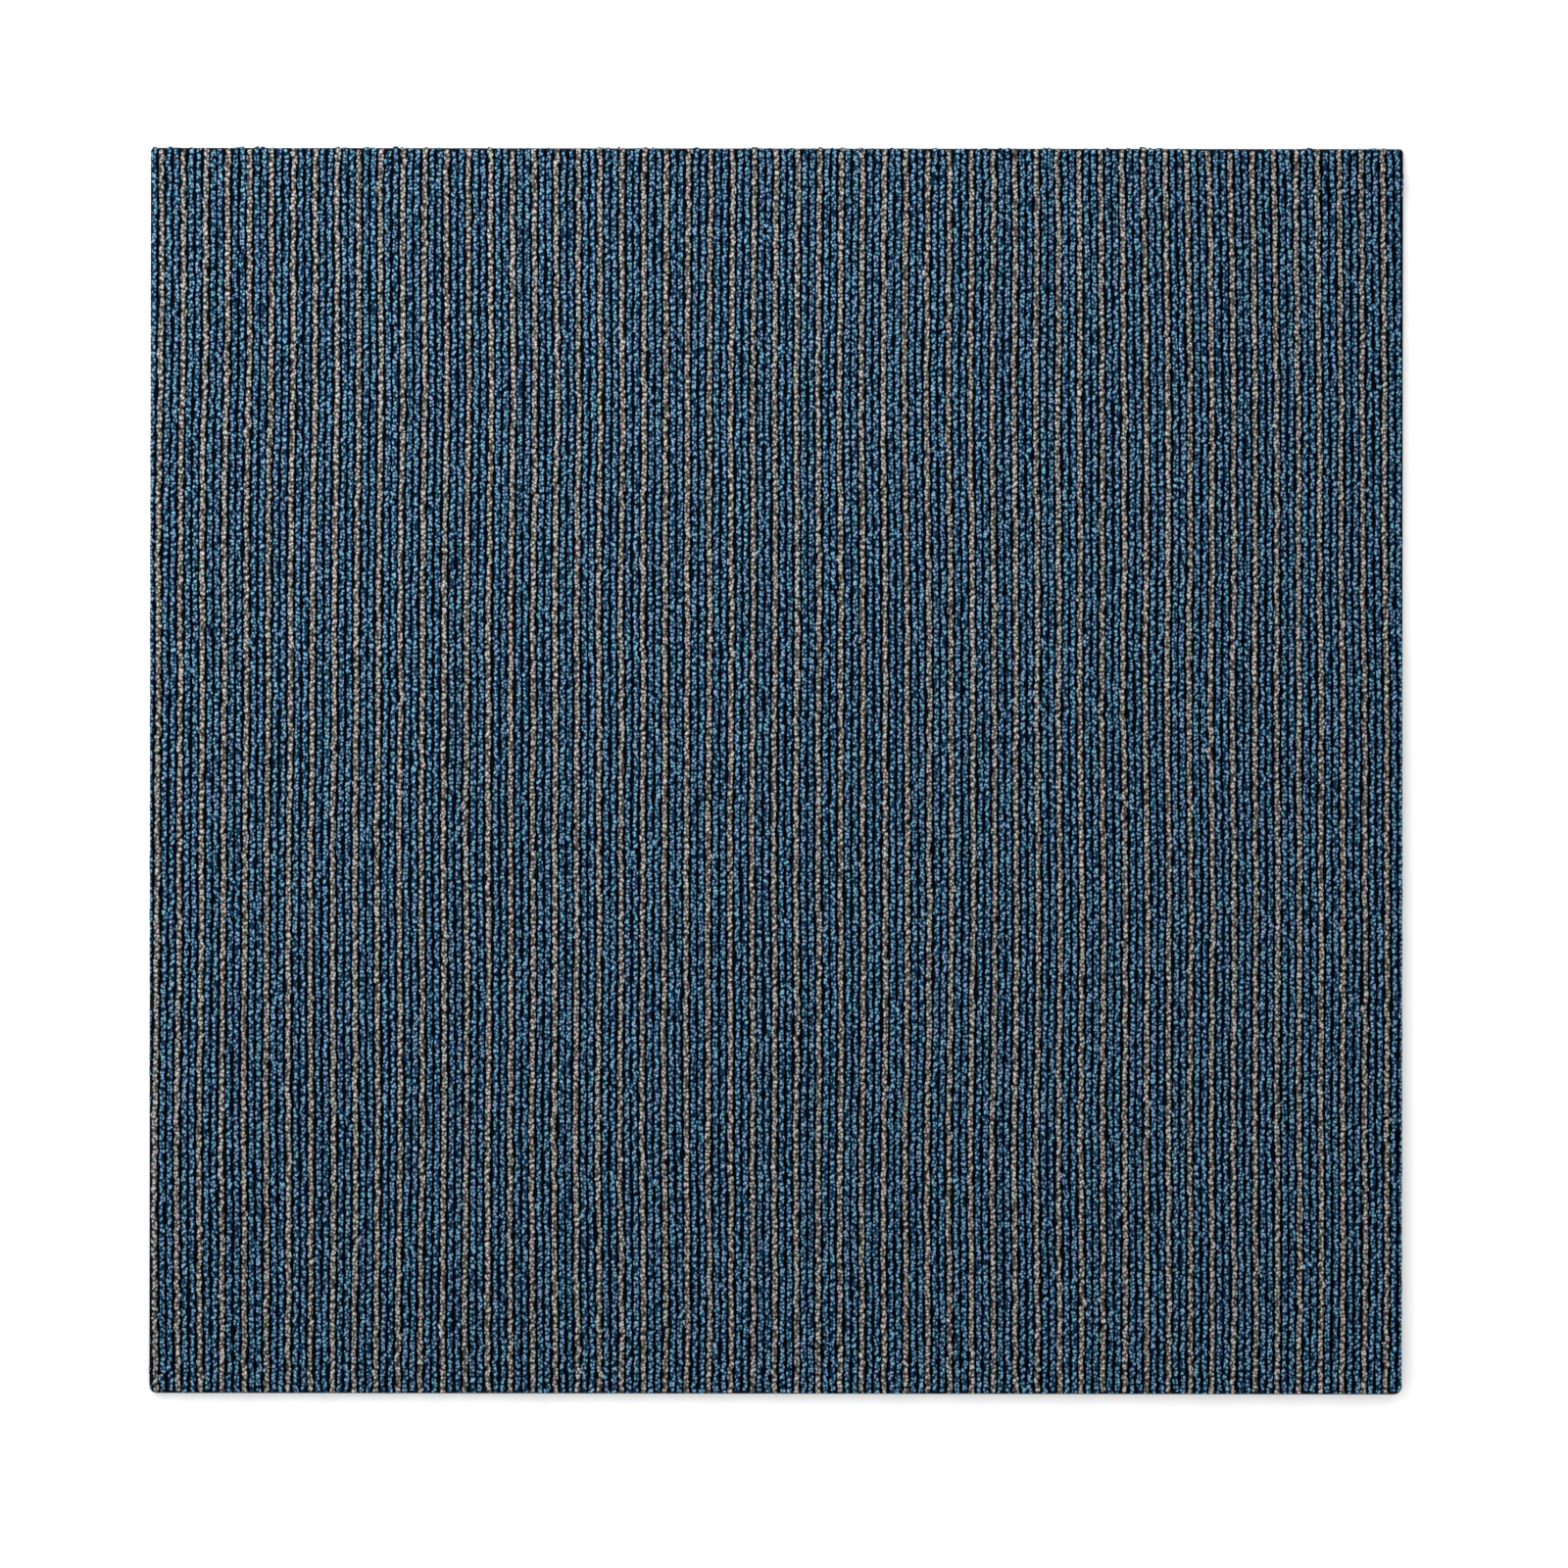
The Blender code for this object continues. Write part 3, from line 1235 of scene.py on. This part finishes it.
def piece_of(
    shape: bmesh.types.BMesh, name: str, material: bpy.types.Material
) -> bpy.types.Object:
    """Turns a finished shape into a piece.

    Args:
        shape: The mesh in work, which is freed.
        name: Name of the piece.
        material: Its finish.

    Returns:
        The piece.
    """
    mesh = bpy.data.meshes.new(name)
    shape.to_mesh(mesh)
    shape.free()
    mesh.materials.append(material)
    return in_scene(name, mesh)


@dataclass(frozen=True)
class Band:
    """Neighbouring rows whose loops of one yarn make one piece."""

    yarn: Yarn
    number: int
    first_row: int
    rows: int

    @property
    def name(self) -> str:
        """Name of the piece."""
        return f"{self.yarn.value}_loops_{self.number}"


@dataclass
class LoopPile:
    """All the loops of both yarns, as a few pieces of whole rows."""

    rules: PileRules
    foot_level: float
    shape: LoopShape = field(default_factory=LoopShape)
    yarn_width: dict[Yarn, float] = field(
        default_factory=lambda: {Yarn.BLUE: 1.07, Yarn.TAUPE: 1.13}
    )
    band_count: dict[Yarn, int] = field(default_factory=lambda: {Yarn.BLUE: 4, Yarn.TAUPE: 2})
    spare_loops: int = 3

    def shape_collection(self) -> bpy.types.Collection:
        """Makes the loops that the tree chooses from.

        Returns:
            A collection of its own, outside the scene.
        """
        made = bpy.data.collections.new("loop_shapes")
        variants = (
            self.shape,
            LoopShape(lean=0.10 * MM, turn=0.12 * MM, shoulder=0.78 * MM),
            LoopShape(lean=-0.10 * MM, turn=-0.12 * MM, shoulder_drop=0.34 * MM),
            LoopShape(
                lean=0.05 * MM,
                turn=-0.18 * MM,
                shoulder=0.90 * MM,
                half_width=1.30 * MM,
                height=2.68 * MM,
            ),
            LoopShape(
                lean=-0.05 * MM,
                turn=0.18 * MM,
                shoulder=0.88 * MM,
                half_width=1.21 * MM,
                height=2.62 * MM,
            ),
        )
        for number, variant in enumerate(variants):
            mesh = variant.mesh(f"loop_shape_{number}")
            made.objects.link(bpy.data.objects.new(mesh.name, mesh))
        return made

    def bands(self, yarn: Yarn) -> list[Band]:
        """Shares the rows out among a yarn's pieces.

        One more row at each end fills the outline where the rows bow inwards.

        Args:
            yarn: Which yarn.

        Returns:
            Its bands, from -X to +X.
        """
        rows, count = self.rules.all_rows, self.band_count[yarn]
        found = []
        for band in range(count):
            first = rows * band // count - (band == 0)
            last = rows * (band + 1) // count + (band == count - 1)
            found.append(Band(yarn, band + 1, first, last - first))
        return found

    def build(self, materials: dict[Yarn, bpy.types.Material]) -> list[bpy.types.Object]:
        """Makes every piece of the pile.

        Args:
            materials: The finish of each yarn.

        Returns:
            The pieces, each a plain mesh.
        """
        tree = LoopTree()
        shapes = self.shape_collection()
        bands = [band for yarn in Yarn for band in self.bands(yarn)]
        pieces = [self.piece(band, tree, shapes, materials[band.yarn]) for band in bands]
        for made in list(shapes.objects):
            bpy.data.objects.remove(made, do_unlink=True)
        bpy.data.collections.remove(shapes)
        return pieces

    def piece(
        self,
        band: Band,
        tree: LoopTree,
        shapes: bpy.types.Collection,
        material: bpy.types.Material,
    ) -> bpy.types.Object:
        """Makes one yarn's loops in one band of rows.

        Args:
            band: The band.
            tree: The tree that lays the loops out.
            shapes: The loops that it chooses from.
            material: The yarn's finish.

        Returns:
            The piece.
        """
        rules = self.rules
        loops = math.ceil(2 * rules.half_length / rules.loop_pitch) + self.spare_loops
        values = {label_of(key): value for key, value in asdict(rules).items()} | {
            "Loop Shapes": shapes,
            "Shape Count": len(shapes.objects),
            "First Row": band.first_row,
            "Rows": band.rows,
            "Loops Per Row": loops,
            "Taupe": band.yarn is Yarn.TAUPE,
            "Foot Level": self.foot_level,
            "Yarn Width": self.yarn_width[band.yarn],
            "Material": material,
        }
        carrier = in_scene("loop_carrier", bpy.data.meshes.new("loop_carrier"))
        modifier = carrier.modifiers.new("loop_rows", "NODES")
        modifier.node_group = tree.tree
        identifiers = tree.identifiers()
        for label, value in values.items():
            modifier[identifiers[label]] = value
        bpy.context.view_layer.update()
        graph = bpy.context.evaluated_depsgraph_get()
        mesh = bpy.data.meshes.new_from_object(
            carrier.evaluated_get(graph), preserve_all_data_layers=True, depsgraph=graph
        )
        mesh.name = band.name
        empty = carrier.data
        bpy.data.objects.remove(carrier, do_unlink=True)
        bpy.data.meshes.remove(empty)
        return in_scene(band.name, mesh)


@dataclass
class CutSheet:
    """A flat sheet that was cut with the tile, with rounded corners and an edge that may waver."""

    name: str
    half_width: float
    half_length: float
    low: float
    high: float
    near_radius: float = 3.0 * MM
    far_radius: float = 1.5 * MM
    waver: float = 0.0
    side_points: int = 160
    corner_points: int = 5

    # Radians of the waver's two waves from point to point, and of the first from side to side
    QUICK_WAVE = 37.0
    SLOW_WAVE = 1.7
    SIDE_WAVE = 11.0

    def corner(self, number: int) -> tuple[float, float, float]:
        """Middle and radius of one corner's round.

        Args:
            number: 0 to 3, counter-clockwise from +X +Y.

        Returns:
            X, Y and radius.
        """
        far = number < 2
        radius = self.far_radius if far else self.near_radius
        x, y = self.half_width - radius, self.half_length - radius
        return (x if number in (0, 3) else -x, y if far else -y, radius)

    def outline(self) -> list[tuple[float, float]]:
        """The cut edge, counter-clockwise from the +X side.

        Returns:
            The outline's points.
        """
        found = []
        for number in range(4):
            x, y, radius = self.corner(number)
            for step in range(self.corner_points):
                angle = math.radians(90 * (number + step / (self.corner_points - 1)))
                found.append((x + radius * math.cos(angle), y + radius * math.sin(angle)))
            start = found[-1]
            x, y, radius = self.corner((number + 1) % 4)
            outward = (math.cos(angle), math.sin(angle))
            end = (x + radius * outward[0], y + radius * outward[1])
            for step in range(1, self.side_points):
                share = step / self.side_points
                quick = math.sin(self.QUICK_WAVE * step + self.SIDE_WAVE * number)
                sway = self.waver * quick * math.sin(self.SLOW_WAVE * step)
                straight = [start[k] + (end[k] - start[k]) * share for k in (0, 1)]
                found.append(tuple(straight[k] + sway * outward[k] for k in (0, 1)))
        return found

    def build(self, material: bpy.types.Material) -> bpy.types.Object:
        """Makes the sheet, closed.

        Args:
            material: Its finish.

        Returns:
            The piece.
        """
        shape = bmesh.new()
        bottom = [shape.verts.new((x, y, self.low)) for x, y in self.outline()]
        sheet = shape.faces.new(bottom)
        raised = bmesh.ops.extrude_face_region(shape, geom=[sheet])["geom"]
        top = [g for g in raised if isinstance(g, bmesh.types.BMVert)]
        bmesh.ops.translate(shape, vec=(0.0, 0.0, self.high - self.low), verts=top)
        bmesh.ops.recalc_face_normals(shape, faces=shape.faces)
        bmesh.ops.triangulate(shape, faces=shape.faces)
        return piece_of(shape, self.name, material)


@dataclass
class Studio:
    """Camera, light and floor, as in the photograph."""

    photo_side_px: float = 1600.0
    tile_centre_px: tuple[float, float] = (792.0, 786.8)
    metres_per_px: float = 0.3930 * MM
    sight_level: float = 5.5 * MM
    roll_degrees: float = 0.07
    lens_mm: float = 85.0
    sensor_mm: float = 36.0
    key_place: tuple[float, float, float] = (-0.31, 0.42, 0.55)
    key_size: float = 0.9
    key_watts: float = 4.9
    fill: float = 1.12
    backdrop: float = 1.0
    floor_radius: float = 12.0
    floor_sides: int = 96
    floor_drop: float = 0.1 * MM

    def camera(self) -> None:
        """Sets the camera straight above the tile."""
        data = bpy.data.cameras.new("camera")
        data.lens, data.sensor_width = self.lens_mm, self.sensor_mm
        made = in_scene("camera", data)
        half = self.photo_side_px / 2
        x = (half - self.tile_centre_px[0]) * self.metres_per_px
        y = (self.tile_centre_px[1] - half) * self.metres_per_px
        distance = self.photo_side_px * self.metres_per_px * self.lens_mm / self.sensor_mm
        made.location = (x, y, self.sight_level + distance)
        made.rotation_euler.z = math.radians(self.roll_degrees)
        bpy.context.scene.camera = made

    def key_light(self) -> None:
        """Adds the large soft light above the far left corner."""
        data = bpy.data.lights.new("key_light", "AREA")
        data.shape, data.size = "DISK", self.key_size
        data.energy = self.key_watts
        in_scene("key_light", data).location = self.key_place

    def surroundings(self) -> None:
        """Fills the shadows from an even white room."""
        world = bpy.data.worlds.new("studio")
        world.use_nodes = True
        w = Wiring(world.node_tree)
        background = world.node_tree.nodes["Background"]
        seen = w.node("ShaderNodeLightPath").outputs["Is Camera Ray"]
        w.feed(background.inputs["Color"], WHITE)
        strength = w.math("MULTIPLY_ADD", seen, self.backdrop - self.fill, self.fill)
        w.feed(background.inputs["Strength"], strength)
        bpy.context.scene.world = world
        bpy.context.scene.view_settings.view_transform = "Standard"

    def floor(self, material: bpy.types.Material) -> None:
        """Lays the floor just under the tile.

        Args:
            material: Its finish.
        """
        shape = bmesh.new()
        bmesh.ops.create_circle(
            shape, cap_ends=True, radius=self.floor_radius, segments=self.floor_sides
        )
        bmesh.ops.translate(shape, vec=(0.0, 0.0, -self.floor_drop), verts=shape.verts)
        made = piece_of(shape, "floor", material)

    def build(self) -> None:
        """Sets up the whole studio."""
        self.camera()
        self.key_light()
        self.surroundings()
        self.floor(FloorFinish().material())


# Deep and foot are painted shade colours and pale a painted highlight colour
YARNS = {
    Yarn.BLUE: YarnFinish(
        "blue_loop_yarn",
        deep=(0.0003, 0.0034, 0.0144),
        body=(0.0078, 0.0358, 0.0805),
        pale=(0.2550, 0.4380, 0.5660),
        cool=(1.13, 0.92, 1.05),
        warm=(0.73, 1.075, 1.00),
    ),
    Yarn.TAUPE: YarnFinish(
        "taupe_loop_yarn",
        deep=(0.0065, 0.0074, 0.0092),
        body=(0.0815, 0.0823, 0.0823),
        pale=(0.5340, 0.5330, 0.5260),
        cool=(1.09, 0.97, 1.05),
        warm=(0.93, 1.035, 0.92),
        foot=(0.0006, 0.0018, 0.0040),
    ),
}
# The ground cloth's near-black navy is painted shade at the foot of the rows
SHADED_GROUND_CLOTH = FibreFinish(
    "ground_cloth_fibre", base=(0.0012, 0.0022, 0.0045), fibre=(0.006, 0.009, 0.014)
)

# Half sizes of the two sheets, whose black and painted shade show as the dark rim outside the loops
BACKING_HALF_WIDTH = 251.6 * MM
BACKING_PAST_END = 0.2 * MM
CLOTH_HALF_WIDTH = 251.3 * MM
CLOTH_HALF_LENGTH = 249.6 * MM
CLOTH_THICKNESS = 0.8 * MM
CLOTH_WAVER = 0.12 * MM


def report(piece: bpy.types.Object) -> None:
    """Logs a piece's name and its triangles."""
    piece.data.calc_loop_triangles()
    log.info("%s: %d triangles", piece.name, len(piece.data.loop_triangles))


def main() -> None:
    """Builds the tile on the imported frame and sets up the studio."""
    logging.basicConfig(level=logging.INFO, format="%(name)s: %(message)s")
    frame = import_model()
    log.info("cad nodes: %s", ", ".join(sorted(frame["nodes"])))
    cloth_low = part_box("loop_pile")[0].z
    cloth_high = cloth_low + CLOTH_THICKNESS
    yarn_look, fibre_look = TwistedYarn().group(), MattedFibre().group()

    backing_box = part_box("backing")
    backing = CutSheet(
        "backing_sheet",
        BACKING_HALF_WIDTH,
        backing_box[1].y + BACKING_PAST_END,
        low=backing_box[0].z,
        high=backing_box[1].z,
        side_points=1,
    )
    cloth = CutSheet(
        "ground_cloth",
        CLOTH_HALF_WIDTH,
        CLOTH_HALF_LENGTH,
        low=cloth_low,
        high=cloth_high,
        waver=CLOTH_WAVER,
    )
    sheets = ((backing, BackingFinish(), "backing"), (cloth, SHADED_GROUND_CLOTH, "loop_pile"))
    for sheet, finish, node in sheets:
        piece = sheet.build(finish.material(fibre_look))
        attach(piece, "root")
        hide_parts(node)
        report(piece)

    pile = LoopPile(PileRules(), foot_level=cloth_high)
    for piece in pile.build({yarn: finish.material(yarn_look) for yarn, finish in YARNS.items()}):
        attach(piece, "root")
        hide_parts("loop_pile")
        report(piece)

    Studio().build()


if __name__ == "__main__":
    main()
